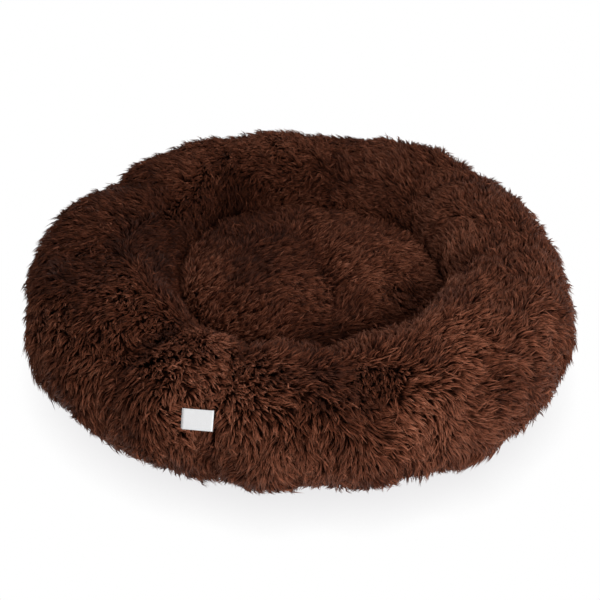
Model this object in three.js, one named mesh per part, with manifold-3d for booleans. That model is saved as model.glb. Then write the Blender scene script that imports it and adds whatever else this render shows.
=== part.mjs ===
// Round donut pet bed: a plush ring round a crowned centre pad, one cover with a zip in its base.
// Millimetres, +Z up, the floor at z = 0, the bed's middle at x = y = 0, its front towards -Y.
import * as THREE from "three";
import { mergeVertices } from "three/addons/utils/BufferGeometryUtils.js";
import Module from "manifold-3d";

const wasm = await Module();
wasm.setup();

// Driving sizes of the bed, measured to the middle of the pile
const ringOuterRadius = 388;
const ringHeight = 168;
const ringWidth = 178;
const openingRadius = ringOuterRadius - ringWidth;
const openingShiftX = 12;
const openingShiftY = 14;
const openingOval = 6;
const padCrown = 116;
const padSeamHeight = 50;

// Cloths and layers
const pileDepth = 16;
const plushBacking = 2;
const padSidePile = 8;
const baseCloth = 1;
const hemCloth = 1.3;
const hemWidth = 10;
const linerCloth = 1.5;
const seatGap = 0.3;
const layerGap = 0.6;

// The base: a flat ring that stands on the floor and a middle that it holds clear of it
const baseTuck = 62;
const baseStepReach = 22;
const baseStepRun = 28;
const baseRadius = ringOuterRadius - baseTuck;
const baseStepOuter = openingRadius + baseStepReach;
const baseStepInner = baseStepOuter - baseStepRun;

// Soft forms: the power that squares a round outline (1 is an ellipse) and how deep a crease goes
const tubePowerShare = 0.83;
const tubeLowPowerShare = 1.3;
const padPowerShare = 0.67;
const tubeBottomShare = 1.14;
const creaseDepth = 16;
const foldDepth = 9;
const foldHalfWidth = 20;
const padEdgeGap = 1.5;
const footWidth = 14;

// The two radial seams of the ring, in degrees round the bed
const frontSeamAngle = 255;
const backSeamAngle = 75;
const azimuthSteps = 48;

// Label, a folded satin tape sewn into the front seam
const labelWidth = 38;
const labelHeight = 24;
const labelTape = 0.4;
const labelFoldGap = 0.6;
const labelLift = 1.6;
const labelTurnAngle = 3.6;
const labelTubeAngle = 38;

// Zip: coil chain, tapes and window, along X, in the middle of the base that is held clear
const zipEndRoom = 14;
const zipLength = (baseStepInner - zipEndRoom) * 2;
const chainWidth = 6;
const coilPitch = 2;
const coilThickness = 1.9;
const toothReach = 0.6;
const meshGap = 0.5;
const tapeThickness = 0.6;
const tapeWidth = 14.5;
const tapeInnerEdge = 1.5;
const tapeTail = 12;
const windowHalfWidth = 12;
const tackLength = 3;
const tackThickness = 0.8;
const tackOverHem = 2;

// Slider and pull
const sliderLength = 13;
const noseHalfWidth = 6;
const tailHalfWidth = 4.5;
const sliderWall = 0.9;
const wingThickness = 1.1;
const postHalfWidth = 0.9;
const postLength = 4;
const runningGap = 0.3;
const bridgeFloorGap = 0.5;
const bridgeBar = 1;
const bridgeWidth = 2.2;
const bridgeLength = 8.4;
const pullThickness = 1.6;
const pullPlay = 0.4;
const pullCrossbar = 1.4;
const pullLength = 22;
const pullHeadWidth = 7.4;
const pullWindowWidth = 4.2;
const pullWindowLength = 9;
const pullNeckWidth = 4.6;
const pullEyeWidth = 8.6;
const pullHoleWidth = 4.8;
const pullHoleLength = 5.6;

// Heights, stacked from the floor up
const bridgeTop = bridgeFloorGap + bridgeBar;
const pullBottom = bridgeTop + pullPlay;
const pullMiddle = pullBottom + pullThickness / 2;
const wingBottom = pullBottom + pullThickness + pullPlay;
const wingTop = wingBottom + wingThickness;
const coilBottom = wingTop + runningGap;
const coilTop = coilBottom + coilThickness;
const tapeBottom = coilTop + seatGap;
const tapeTop = tapeBottom + tapeThickness;
const innerWingBottom = tapeTop + runningGap;
const innerWingTop = innerWingBottom + wingThickness;
const hemTop = tapeBottom - seatGap;
const padFloor = innerWingTop + runningGap;
const coverThickness = pileDepth + plushBacking;

// Places along the zip; the closed end is at -X and the slider's nose points there
const zipEnd = zipLength / 2;
const sliderRest = -zipEnd + seatGap + sliderLength / 2;
const noseSpread = toothReach + postHalfWidth + runningGap;

// Creases (depthShare above 0) and swells (below 0) of the ring. Angles in degrees: at and half
// go round the bed, middle and spread round the tube, 0 outside, 90 crest and 180 inside.
const ringForms = [
  { atAngle: frontSeamAngle, depthShare: 0.5, halfAngle: 6, middleAngle: 90, spreadAngle: 150 },
  { atAngle: backSeamAngle, depthShare: 0.5, halfAngle: 6, middleAngle: 90, spreadAngle: 150 },
  { atAngle: 232, depthShare: 0.95, halfAngle: 8, middleAngle: 115, spreadAngle: 60 },
  { atAngle: 146, depthShare: 0.85, halfAngle: 7, middleAngle: 75, spreadAngle: 60 },
  { atAngle: 41, depthShare: 0.7, halfAngle: 8, middleAngle: 130, spreadAngle: 60 },
  { atAngle: 354, depthShare: 0.6, halfAngle: 8, middleAngle: 140, spreadAngle: 55 },
  { atAngle: 283, depthShare: 0.8, halfAngle: 10, middleAngle: 70, spreadAngle: 45 },
  { atAngle: 120, depthShare: 0.6, halfAngle: 14, middleAngle: 170, spreadAngle: 50 },
  { atAngle: 185, depthShare: -0.75, halfAngle: 30, middleAngle: 175, spreadAngle: 60 },
  { atAngle: 308, depthShare: -0.55, halfAngle: 18, middleAngle: 85, spreadAngle: 60 },
  { atAngle: 332, depthShare: -0.35, halfAngle: 12, middleAngle: 55, spreadAngle: 50 },
  { atAngle: 97, depthShare: -0.4, halfAngle: 9, middleAngle: 150, spreadAngle: 45 },
  { atAngle: 210, depthShare: -0.35, halfAngle: 13, middleAngle: 80, spreadAngle: 60 },
  { atAngle: 20, depthShare: -0.35, halfAngle: 13, middleAngle: 100, spreadAngle: 60 },
  { atAngle: 50, depthShare: -0.8, halfAngle: 13, middleAngle: 60, spreadAngle: 45 },
  { atAngle: 136, depthShare: -0.45, halfAngle: 6, middleAngle: 60, spreadAngle: 45 },
  { atAngle: 115, depthShare: -0.45, halfAngle: 8, middleAngle: 60, spreadAngle: 45 },
  { atAngle: 167, depthShare: -0.65, halfAngle: 10, middleAngle: 35, spreadAngle: 45 },
  { atAngle: 318, depthShare: -1, halfAngle: 24, middleAngle: -15, spreadAngle: 50 },
  { atAngle: 210, depthShare: -0.6, halfAngle: 17, middleAngle: -10, spreadAngle: 50 },
  { atAngle: 272, depthShare: 0.6, halfAngle: 24, middleAngle: -50, spreadAngle: 35 },
];

// The fold across the pad, from its back to its front, as shares of the opening's radius
const foldBackShares = [0.05, 0.5];
const foldFrontShares = [0.26, -0.42];

const slots = {
  plush: { color: 0x3e2217, roughness: 0.95, metalness: 0 },
  base: { color: 0x242322, roughness: 0.9, metalness: 0 },
  liner: { color: 0xc9c5bb, roughness: 0.9, metalness: 0 },
  fill: { color: 0xeceae4, roughness: 1, metalness: 0 },
  tape: { color: 0x1d1c1b, roughness: 0.85, metalness: 0 },
  coil: { color: 0x171716, roughness: 0.45, metalness: 0 },
  metal: { color: 0x2b2c2e, roughness: 0.35, metalness: 0.8 },
  satin: { color: 0xf1f1ef, roughness: 0.45, metalness: 0 },
};

const radians = THREE.MathUtils.degToRad;
const bed = new THREE.Group();

function addPiece(name, slot, geometry, parent = bed) {
  const mesh = new THREE.Mesh(geometry, new THREE.MeshStandardMaterial(slots[slot]));
  mesh.name = name;
  parent.add(mesh);
  return mesh;
}

// Closed bodies from rows of points

function closedBody(points, faces) {
  const kept = faces.filter(([a, b, c]) => {
    const [pa, pb, pc] = [points[a], points[b], points[c]];
    return !(pa.equals(pb) || pb.equals(pc) || pc.equals(pa));
  });
  const volume = kept.reduce(
    (sum, [a, b, c]) => sum + points[a].dot(points[b].clone().cross(points[c])), 0);
  const outward = kept.map(([a, b, c]) => (volume < 0 ? [a, c, b] : [a, b, c]));
  const geometry = new THREE.BufferGeometry();
  const position = points.flatMap((p) => [p.x, p.y, p.z]);
  geometry.setAttribute("position", new THREE.Float32BufferAttribute(position, 3));
  geometry.setIndex(outward.flat());
  return mergeVertices(geometry);
}

// Joins closed outlines, one after another round the bed; open runs get a cap at each end. An
// outline goes out along one side and comes back along the other from its point backFrom, and
// there a quad is split the other way, so that layers that touch have the same facets.
function loft(outlines, { wraps = true, backFrom = Infinity, flatOutline = null } = {}) {
  const count = outlines[0].length;
  const points = outlines.flat();
  const faces = [];
  const spans = wraps ? outlines.length : outlines.length - 1;
  for (let i = 0; i < spans; i += 1) {
    const here = i * count;
    const next = ((i + 1) % outlines.length) * count;
    for (let j = 0; j < count; j += 1) {
      const k = (j + 1) % count;
      const [a, b, c, d] = [here + j, next + j, next + k, here + k];
      faces.push(...(j < backFrom ? [[a, b, c], [a, c, d]] : [[a, b, d], [b, c, d]]));
    }
  }
  if (!wraps) {
    const last = (outlines.length - 1) * count;
    THREE.ShapeUtils.triangulateShape(flatOutline, []).forEach(([a, b, c]) => {
      const turned = THREE.ShapeUtils.isClockWise(flatOutline) ? [c, b, a] : [a, b, c];
      faces.push(turned, turned.toReversed().map((n) => n + last));
    });
  }
  return closedBody(points, faces);
}

// Cuts and joins

function toSolid(geometry) {
  const bare = geometry.clone();
  ["normal", "uv"].forEach((name) => bare.deleteAttribute(name));
  const merged = mergeVertices(bare);
  return new wasm.Manifold(new wasm.Mesh({
    numProp: 3,
    vertProperties: new Float32Array(merged.attributes.position.array),
    triVerts: new Uint32Array(merged.index.array),
  }));
}

function toGeometry(solid) {
  const mesh = solid.getMesh();
  const geometry = new THREE.BufferGeometry();
  geometry.setAttribute("position", new THREE.BufferAttribute(mesh.vertProperties, 3));
  geometry.setIndex(new THREE.BufferAttribute(mesh.triVerts, 1));
  return geometry;
}

// A block between two corners
function block(low, high) {
  const geometry = new THREE.BoxGeometry(high[0] - low[0], high[1] - low[1], high[2] - low[2]);
  geometry.translate((low[0] + high[0]) / 2, (low[1] + high[1]) / 2, (low[2] + high[2]) / 2);
  return geometry;
}

// A flat outline made thick upward from a height
function plate(shape, bottom, thickness, curveSegments = 6) {
  const geometry = new THREE.ExtrudeGeometry(shape, {
    depth: thickness, bevelEnabled: false, curveSegments,
  });
  geometry.translate(0, 0, bottom);
  return geometry;
}

// The ring's tube

function bump(distance, halfWidth) {
  return Math.exp(-((distance / halfWidth) ** 2));
}

function turnBetween(a, b) {
  return ((((a - b + 180) % 360) + 360) % 360) - 180;
}

function ringDent(azimuth, around) {
  return ringForms.reduce((sum, form) => sum + creaseDepth * form.depthShare
    * bump(turnBetween(azimuth, form.atAngle), form.halfAngle)
    * bump(turnBetween(around, form.middleAngle), form.spreadAngle), 0);
}

function rounded(value, power) {
  return Math.sign(value) * Math.abs(value) ** power;
}

function innerWall(azimuth) {
  const turn = radians(azimuth);
  const shift = openingShiftX * Math.cos(turn) + openingShiftY * Math.sin(turn);
  return openingRadius + shift - openingOval * Math.cos(2 * turn);
}

// A point of the tube's section as [radius, height]; inset goes inwards from the pile's surface,
// and the underside keeps level above the floor.
function ringPoint(azimuth, around, inset, level) {
  const inner = innerWall(azimuth);
  const halfWidth = (ringOuterRadius - inner) / 2 - inset;
  const middle = (ringOuterRadius + inner) / 2;
  const half = ringHeight / 2;
  const turn = radians(around);
  const lowOutside = Math.sin(turn) < 0 && Math.cos(turn) > 0;
  const power = lowOutside ? tubeLowPowerShare : tubePowerShare;
  const out = rounded(Math.cos(turn), power) * halfWidth;
  const rise = rounded(Math.sin(turn), power);
  const up = rise > 0 ? rise * (half - inset) : rise * half * tubeBottomShare;
  const dent = ringDent(azimuth, around) / Math.hypot(out, up);
  return [middle + out * (1 - dent), Math.max(half + up * (1 - dent), level)];
}

// Turns [radius, height] pairs into points at an azimuth, moved along the seam by shift.
function placed(pairs, azimuth, shift = 0) {
  const turn = radians(azimuth);
  return pairs.map(([radius, height]) => new THREE.Vector3(
    radius * Math.cos(turn) - shift * Math.sin(turn),
    radius * Math.sin(turn) + shift * Math.cos(turn), height));
}

function azimuths(from, to) {
  const count = Math.round(((to - from) / 360) * azimuthSteps);
  return Array.from({ length: count + 1 }, (_, i) => from + ((to - from) * i) / count);
}

const tubeStartAngle = -63;
const tubeEndAngle = 205;
const skinAngles = [
  tubeStartAngle, -47, -31, -13, 8, 30, 50, 70, 90, 110, 130, 150, 175, tubeEndAngle];
const coreAngles = [-20, 20, 55, 90, 125, 160, 202];
const coverLevel = baseCloth + seatGap;

// The plush wall of the ring: outside from the floor seam over the crest to the pad's seam.
function coverSection(azimuth) {
  const outer = skinAngles.map((around) => ringPoint(azimuth, around, 0, coverLevel));
  const inner = coreAngles.map(
    (around) => ringPoint(azimuth, around, coverThickness, coverLevel));
  const foot = [outer[0][0] - footWidth, coverLevel];
  return [...outer, ...inner.toReversed(), foot];
}

function ringPanel(from, to) {
  const turns = azimuths(from, to);
  return turns.map((azimuth, i) => {
    const start = i === 0 ? seatGap / 2 : 0;
    const end = i === turns.length - 1 ? -seatGap / 2 : 0;
    return placed(coverSection(azimuth), azimuth, start + end);
  });
}

function addRingPanels() {
  const spans = [
    ["ring_panel_left", backSeamAngle, frontSeamAngle],
    ["ring_panel_right", frontSeamAngle, backSeamAngle + 360],
  ];
  spans.forEach(([name, from, to]) => {
    const flat = coverSection(from).map(([radius, height]) => new THREE.Vector2(radius, height));
    const form = { wraps: false, backFrom: skinAngles.length, flatOutline: flat };
    addPiece(name, "plush", loft(ringPanel(from, to), form));
  });
}

// The ring's own bag of white cloth, an upper and a lower half, and the fibre in it
const linerInset = coverThickness + layerGap;
const fillInset = linerInset + linerCloth + layerGap;
const linerLowerAngles = [202.3, 245, 285, 339.7];
const fillAngles = [...coreAngles, 245, 285];

function ringShell(angles, cloth) {
  const floor = coverLevel;
  return azimuths(0, 360).slice(0, -1).map((azimuth) => {
    const outer = angles.map((around) => ringPoint(azimuth, around, linerInset, floor));
    const inner = angles.map((around) => ringPoint(
      azimuth, around, linerInset + cloth, floor + cloth));
    return placed([...outer, ...inner.toReversed()], azimuth);
  });
}

function addRingCore() {
  [["ring_liner_upper", coreAngles], ["ring_liner_lower", linerLowerAngles]]
    .forEach(([name, angles]) => addPiece(
      name, "liner", loft(ringShell(angles, linerCloth), { backFrom: angles.length })));
  const floor = coverLevel + linerCloth + layerGap;
  const outlines = azimuths(0, 360).slice(0, -1).map((azimuth) => placed(
    fillAngles.map((around) => ringPoint(azimuth, around, fillInset, floor)), azimuth));
  addPiece("ring_fill", "fill", loft(outlines));
}

// The centre pad

function padEdge(azimuth) {
  return ringPoint(azimuth, 180, 0, 0)[0] - padEdgeGap;
}

// How far the fold presses the pad's top down at a place
function foldDrop(x, y) {
  const back = new THREE.Vector2(...foldBackShares).multiplyScalar(openingRadius);
  const front = new THREE.Vector2(...foldFrontShares).multiplyScalar(openingRadius);
  const along = front.clone().sub(back);
  const from = new THREE.Vector2(x, y).sub(back);
  const share = THREE.MathUtils.clamp(from.dot(along) / along.lengthSq(), 0, 1);
  return foldDepth * bump(from.sub(along.multiplyScalar(share)).length(), foldHalfWidth);
}

// A point of the pad's upper half as [radius, height]: rise is 90 at the middle, 0 at the side.
function padPoint(azimuth, rise, side, top) {
  const radius = (padEdge(azimuth) - side) * rounded(Math.cos(radians(rise)), padPowerShare);
  const flatRadius = rise === 90 ? 0 : radius;
  const turn = radians(azimuth);
  const lift = rounded(Math.sin(radians(rise)), padPowerShare);
  const drop = foldDrop(flatRadius * Math.cos(turn), flatRadius * Math.sin(turn));
  return [flatRadius, padSeamHeight + (padCrown - top - padSeamHeight - drop) * lift];
}

const padRises = [90, 80, 67, 54, 42, 30, 18, 8, 0];
const padCoreRises = [90, 67, 42, 18, 0];
const padCoverSide = padSidePile + plushBacking;

function padCoverSection(azimuth) {
  const outer = padRises.map((rise) => padPoint(azimuth, rise, 0, 0));
  const inner = padCoreRises.map((rise) => padPoint(azimuth, rise, padCoverSide, coverThickness));
  const [ringEdge, ringEdgeHeight] = ringPoint(azimuth, tubeEndAngle, 0, coverLevel);
  const skirt = [ringEdge - seatGap, ringEdgeHeight];
  const skirtInner = [ringEdge - seatGap - padCoverSide, ringEdgeHeight];
  return [...outer, skirt, skirtInner, ...inner.toReversed()];
}

// The lower half of the pad as [radius, height], from the side in to the middle
const padFloorShares = [[0.94, 0.4], [0.8, 0], [0, 0]];

function padUnder(azimuth, side, floor, seam) {
  const edge = padEdge(azimuth) - side;
  return [[edge, seam], ...padFloorShares.map(([radiusShare, riseShare]) => [
    edge * radiusShare, floor + (seam - floor) * riseShare])];
}

function padOutlines(section) {
  return azimuths(0, 360).slice(0, -1).map((azimuth) => placed(section(azimuth), azimuth));
}

function addPad() {
  const side = padCoverSide + layerGap;
  const top = coverThickness + layerGap;
  const fillSide = side + linerCloth + layerGap;
  const fillTop = top + linerCloth + layerGap;
  const fillFloor = padFloor + linerCloth + layerGap;
  const lowerSeam = padSeamHeight - seatGap;
  addPiece("centre_panel", "plush", loft(
    padOutlines(padCoverSection), { backFrom: padRises.length + 1 }));
  addPiece("centre_liner_upper", "liner", loft(padOutlines((azimuth) => [
    ...padCoreRises.map((rise) => padPoint(azimuth, rise, side, top)),
    ...padCoreRises.toReversed().map((rise) => padPoint(
      azimuth, rise, side + linerCloth, top + linerCloth)),
  ]), { backFrom: padCoreRises.length }));
  addPiece("centre_liner_lower", "liner", loft(padOutlines((azimuth) => [
    ...padUnder(azimuth, side, padFloor, lowerSeam),
    ...padUnder(azimuth, side + linerCloth, padFloor + linerCloth, lowerSeam).toReversed(),
  ]), { backFrom: padFloorShares.length + 1 }));
  addPiece("centre_fill", "fill", loft(padOutlines((azimuth) => [
    ...padCoreRises.map((rise) => padPoint(azimuth, rise, fillSide, fillTop)),
    ...padUnder(azimuth, fillSide, fillFloor, padSeamHeight).slice(1),
  ])));
}

// The non-slip base: two halves that meet along X and leave a hemmed window for the zip

function baseDisc() {
  const low = hemTop - baseCloth;
  const profile = [
    [0, low], [baseStepInner, low], [(baseStepInner + baseStepOuter) / 2, low / 2],
    [baseStepOuter, 0], [baseRadius, 0], [baseRadius, baseCloth], [baseStepOuter, baseCloth],
    [(baseStepInner + baseStepOuter) / 2, low / 2 + baseCloth], [baseStepInner, hemTop],
    [0, hemTop],
  ].map(([radius, height]) => new THREE.Vector2(radius, height));
  const geometry = new THREE.LatheGeometry(profile, azimuthSteps);
  geometry.rotateX(Math.PI / 2);
  return geometry;
}

function addBase() {
  const disc = toSolid(baseDisc());
  const reach = ringOuterRadius;
  const windowEnd = zipEnd + tackLength;
  [["base_panel_front", -1], ["base_panel_rear", 1]].forEach(([name, side]) => {
    const span = (near, far) => [Math.min(side * near, side * far), Math.max(side * near, side * far)];
    const [halfLow, halfHigh] = span(seatGap / 2, reach);
    const [windowLow, windowHigh] = span(0, windowHalfWidth);
    const [hemLow, hemHigh] = span(windowHalfWidth, windowHalfWidth + hemWidth);
    const half = toSolid(block([-reach, halfLow, -reach], [reach, halfHigh, reach]));
    const window = toSolid(block([-windowEnd, windowLow, -reach], [windowEnd, windowHigh, reach]));
    const hem = toSolid(block([-windowEnd, hemLow, hemTop - hemCloth], [windowEnd, hemHigh, hemTop]));
    addPiece(name, "base", toGeometry(disc.intersect(half).subtract(window).add(hem)));
  });
}

// The zip's tapes, its two toothed coils and the tacks that close its ends

function addTapes() {
  const end = zipEnd + tapeTail;
  [["zip_tape_front", -1], ["zip_tape_rear", 1]].forEach(([name, side]) => {
    const near = side * tapeInnerEdge;
    const far = side * (tapeInnerEdge + tapeWidth);
    addPiece(name, "tape", block(
      [-end, Math.min(near, far), tapeBottom], [end, Math.max(near, far), tapeTop]));
  });
}

// How far the slider's post holds a coil off the middle at x
function coilSpread(x) {
  const meet = sliderRest + sliderWall;
  const apart = sliderRest - sliderLength / 2 + postLength;
  return noseSpread * (1 - THREE.MathUtils.smoothstep(x, apart, meet));
}

function coilShape(side) {
  const teeth = Math.floor(zipLength / coilPitch);
  const length = teeth * coilPitch;
  const tip = -toothReach;
  const valley = toothReach + meshGap;
  const at = (x, off) => new THREE.Vector2(x, side * (off + coilSpread(x)));
  const start = -length / 2;
  const toothed = [];
  for (let i = 0; i < teeth; i += 1) {
    const x = start + i * coilPitch;
    toothed.push(at(x, side > 0 ? tip : valley), at(x + coilPitch / 2, side > 0 ? valley : tip));
  }
  toothed.push(at(-start, side > 0 ? tip : valley));
  const backs = [-start, sliderRest + sliderWall, sliderRest, sliderRest - sliderWall * 2, start];
  return new THREE.Shape([...toothed, ...backs.map((x) => at(x, chainWidth / 2))]);
}

function addCoils() {
  addPiece("zip_coil_front", "coil", plate(coilShape(-1), coilBottom, coilThickness));
  addPiece("zip_coil_rear", "coil", plate(coilShape(1), coilBottom, coilThickness));
}

function addTacks() {
  const top = hemTop - hemCloth - seatGap;
  const across = windowHalfWidth + tackOverHem;
  [["bar_tack_left", -1], ["bar_tack_right", 1]].forEach(([name, side]) => {
    const near = side * (zipEnd + seatGap);
    const far = side * (zipEnd + tackLength);
    addPiece(name, "tape", block(
      [Math.min(near, far), -across, top - tackThickness], [Math.max(near, far), across, top]));
  });
}

// The slider: two wings joined by a post at the nose, side walls that leave a slot for the
// tapes, and a bridge that holds the pull. Its own x is 0 at its middle, its nose at -X.

function wingShape(inset) {
  const nose = -sliderLength / 2;
  const tail = sliderLength / 2;
  const wide = noseHalfWidth - inset;
  const narrow = tailHalfWidth - inset;
  const shoulder = nose + sliderLength / 3;
  const shape = new THREE.Shape();
  shape.moveTo(nose, wide / 2);
  shape.quadraticCurveTo(nose, wide, shoulder, wide);
  shape.quadraticCurveTo(0, wide, tail / 3, narrow);
  shape.lineTo(tail, narrow);
  shape.lineTo(tail, -narrow);
  shape.lineTo(tail / 3, -narrow);
  shape.quadraticCurveTo(0, -wide, shoulder, -wide);
  shape.quadraticCurveTo(nose, -wide, nose, -wide / 2);
  shape.closePath();
  return shape;
}

function sideWalls() {
  const height = coilTop - wingTop;
  const whole = toSolid(plate(wingShape(0), wingTop - sliderWall / 2, height + sliderWall / 2));
  const mouth = toSolid(block(
    [-sliderLength, -noseHalfWidth * 2, wingTop - sliderWall],
    [-sliderLength / 2 + sliderWall * 2, noseHalfWidth * 2, coilTop + sliderWall]));
  const channel = new THREE.Shape();
  const nose = -sliderLength;
  const wide = noseHalfWidth - sliderWall;
  const narrow = tailHalfWidth - sliderWall;
  channel.moveTo(nose, wide);
  channel.lineTo(-sliderLength / 6, wide);
  channel.lineTo(sliderLength / 6, narrow);
  channel.lineTo(sliderLength, narrow);
  channel.lineTo(sliderLength, -narrow);
  channel.lineTo(sliderLength / 6, -narrow);
  channel.lineTo(-sliderLength / 6, -wide);
  channel.lineTo(nose, -wide);
  channel.closePath();
  const hollow = toSolid(plate(channel, wingTop - sliderWall, height + sliderWall * 2));
  return whole.subtract(hollow).subtract(mouth);
}

function postShape() {
  const nose = -sliderLength / 2 + sliderWall / 2;
  const shape = new THREE.Shape();
  shape.moveTo(nose, postHalfWidth / 2);
  shape.lineTo(nose + postLength / 3, postHalfWidth);
  shape.lineTo(nose + postLength, 0);
  shape.lineTo(nose + postLength / 3, -postHalfWidth);
  shape.lineTo(nose, -postHalfWidth / 2);
  shape.closePath();
  return shape;
}

// The bridge's side view, with X as its length and Y as its height, then turned upright
function bridgeSolid() {
  const half = bridgeLength / 2;
  const into = wingBottom + wingThickness / 2;
  const shape = new THREE.Shape();
  shape.moveTo(-half, into);
  shape.lineTo(-half, bridgeTop);
  shape.quadraticCurveTo(-half, bridgeFloorGap, -half + bridgeBar * 2, bridgeFloorGap);
  shape.lineTo(half - bridgeBar * 2, bridgeFloorGap);
  shape.quadraticCurveTo(half, bridgeFloorGap, half, bridgeTop);
  shape.lineTo(half, into);
  shape.lineTo(half - bridgeBar, into);
  shape.lineTo(half - bridgeBar, bridgeTop);
  shape.lineTo(-half + bridgeBar, bridgeTop);
  shape.lineTo(-half + bridgeBar, into);
  shape.closePath();
  const geometry = plate(shape, -bridgeWidth / 2, bridgeWidth);
  geometry.rotateX(Math.PI / 2);
  return toSolid(geometry);
}

function addSlider() {
  const outerWing = toSolid(plate(wingShape(0), wingBottom, wingThickness));
  const innerWing = toSolid(plate(wingShape(0), innerWingBottom, wingThickness));
  const post = toSolid(plate(
    postShape(), wingTop - wingThickness / 2, innerWingBottom - wingTop + wingThickness));
  const body = outerWing.add(innerWing).add(post).add(sideWalls()).add(bridgeSolid());
  addPiece("zip_slider", "metal", toGeometry(body)).position.x = sliderRest;
}

// The pull lies along the closed chain, its crossbar inside the bridge at its own x = 0.

function rectangleHole(left, right, half) {
  return new THREE.Path([
    new THREE.Vector2(left, -half), new THREE.Vector2(right, -half),
    new THREE.Vector2(right, half), new THREE.Vector2(left, half),
  ]);
}

function addPull() {
  const head = -pullCrossbar / 2;
  const windowEnd = pullCrossbar / 2 + pullWindowLength;
  const eyeRadius = pullEyeWidth / 2;
  const eyeMiddle = pullLength - eyeRadius;
  const neck = windowEnd + pullCrossbar;
  const shape = new THREE.Shape();
  shape.moveTo(head, -pullHeadWidth / 2);
  shape.lineTo(windowEnd - pullCrossbar, -pullHeadWidth / 2);
  shape.lineTo(neck, -pullNeckWidth / 2);
  shape.quadraticCurveTo(eyeMiddle - eyeRadius, -pullNeckWidth / 2, eyeMiddle, -eyeRadius);
  shape.absarc(eyeMiddle, 0, eyeRadius, -Math.PI / 2, Math.PI / 2, false);
  shape.quadraticCurveTo(eyeMiddle - eyeRadius, pullNeckWidth / 2, neck, pullNeckWidth / 2);
  shape.lineTo(windowEnd - pullCrossbar, pullHeadWidth / 2);
  shape.lineTo(head, pullHeadWidth / 2);
  shape.closePath();
  shape.holes.push(rectangleHole(pullCrossbar / 2, windowEnd, pullWindowWidth / 2));
  const hole = new THREE.Path();
  hole.absellipse(eyeMiddle, 0, pullHoleLength / 2, pullHoleWidth / 2, 0, Math.PI * 2, false, 0);
  shape.holes.push(hole);
  const pull = addPiece("zip_pull", "metal", plate(shape, -pullThickness / 2, pullThickness, 8));
  pull.position.set(sliderRest, 0, pullMiddle);
}

// The label: a tape folded back on itself, its two ends at the seam, lying on the pile
function addLabel() {
  const thick = labelTape * 2 + labelFoldGap;
  const shape = new THREE.Shape([
    new THREE.Vector2(labelWidth / 2, 0), new THREE.Vector2(-labelWidth / 2, 0),
    new THREE.Vector2(-labelWidth / 2 - labelTape, thick / 2),
    new THREE.Vector2(-labelWidth / 2, thick), new THREE.Vector2(labelWidth / 2, thick),
    new THREE.Vector2(labelWidth / 2, thick - labelTape),
    new THREE.Vector2(-labelWidth / 2 + labelTape, thick - labelTape),
    new THREE.Vector2(-labelWidth / 2 + labelTape, labelTape),
    new THREE.Vector2(labelWidth / 2, labelTape),
  ]);
  const azimuth = frontSeamAngle - labelTurnAngle;
  const below = new THREE.Vector2(...ringPoint(azimuth, labelTubeAngle - 1, 0, 0));
  const above = new THREE.Vector2(...ringPoint(azimuth, labelTubeAngle + 1, 0, 0));
  const slope = above.clone().sub(below).normalize();
  const middle = above.add(below).multiplyScalar(1 / 2);
  const turn = radians(azimuth);
  const outward = new THREE.Vector3(Math.cos(turn), Math.sin(turn), 0);
  const along = new THREE.Vector3(-Math.sin(turn), Math.cos(turn), 0);
  const up = outward.clone().multiplyScalar(slope.x).setZ(slope.y);
  const normal = new THREE.Vector3().crossVectors(along, up);
  const label = addPiece("label", "satin", plate(shape, -labelHeight / 2, labelHeight));
  label.setRotationFromMatrix(new THREE.Matrix4().makeBasis(along, normal, up.clone().negate()));
  label.position.copy(outward.multiplyScalar(middle.x).setZ(middle.y));
  label.position.addScaledVector(normal, labelLift);
}

addRingPanels();
addRingCore();
addPad();
addBase();
addTapes();
addCoils();
addTacks();
addSlider();
addPull();
addLabel();

export default bed;
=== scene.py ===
# Looks of a round donut pet bed: plush ring and pad, non-slip base with a zip, satin label.
# Metres, +Z up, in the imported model's own frame: the floor at z = 0, the bed's front towards -Y.
import math
from collections import namedtuple

import bmesh
import bpy
import numpy as np
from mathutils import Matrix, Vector
from mathutils.kdtree import KDTree


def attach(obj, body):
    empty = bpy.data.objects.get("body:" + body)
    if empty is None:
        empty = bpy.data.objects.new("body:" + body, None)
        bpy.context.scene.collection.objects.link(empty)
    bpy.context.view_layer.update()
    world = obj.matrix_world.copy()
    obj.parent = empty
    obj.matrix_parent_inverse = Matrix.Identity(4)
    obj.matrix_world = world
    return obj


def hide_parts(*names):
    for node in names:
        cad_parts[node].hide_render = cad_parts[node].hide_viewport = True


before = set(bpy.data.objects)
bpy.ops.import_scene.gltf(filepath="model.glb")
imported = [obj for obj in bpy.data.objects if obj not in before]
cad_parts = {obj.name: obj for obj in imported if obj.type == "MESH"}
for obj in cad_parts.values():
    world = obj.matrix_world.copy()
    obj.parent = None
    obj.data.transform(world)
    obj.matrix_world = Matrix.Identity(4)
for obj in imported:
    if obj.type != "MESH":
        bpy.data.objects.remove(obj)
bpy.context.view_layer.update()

scene = bpy.context.scene

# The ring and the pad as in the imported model, measured to the middle of the pile
ring_outer = 0.388
ring_height = 0.168
ring_width = 0.178
opening = ring_outer - ring_width
opening_shift = (0.012, 0.014)
opening_oval = 0.006
pad_crown = 0.116
pad_seam = 0.050
tube_power = 0.83
tube_low_power = 1.3
pad_power = 0.67
tube_bottom = 1.14
crease_depth = 0.016
fold_depth = 0.009
fold_half_width = 0.020
ring_lumps = 0.0025
pad_lumps = 0.003
fold_back = (0.05 * opening, 0.5 * opening)
fold_front = (0.26 * opening, -0.42 * opening)
pad_edge_gap = 0.0015
cover_level = 0.0013
front_seam = 255
back_seam = 75
tube_start = -63
tube_end = 205

# Layers under the plush
cover_depth = 0.018
layer_gap = 0.0006
liner_cloth = 0.0015
liner_inset = cover_depth + layer_gap
fill_inset = liner_inset + liner_cloth + layer_gap
pad_side = 0.010 + layer_gap
pad_floor = 0.0098

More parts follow.
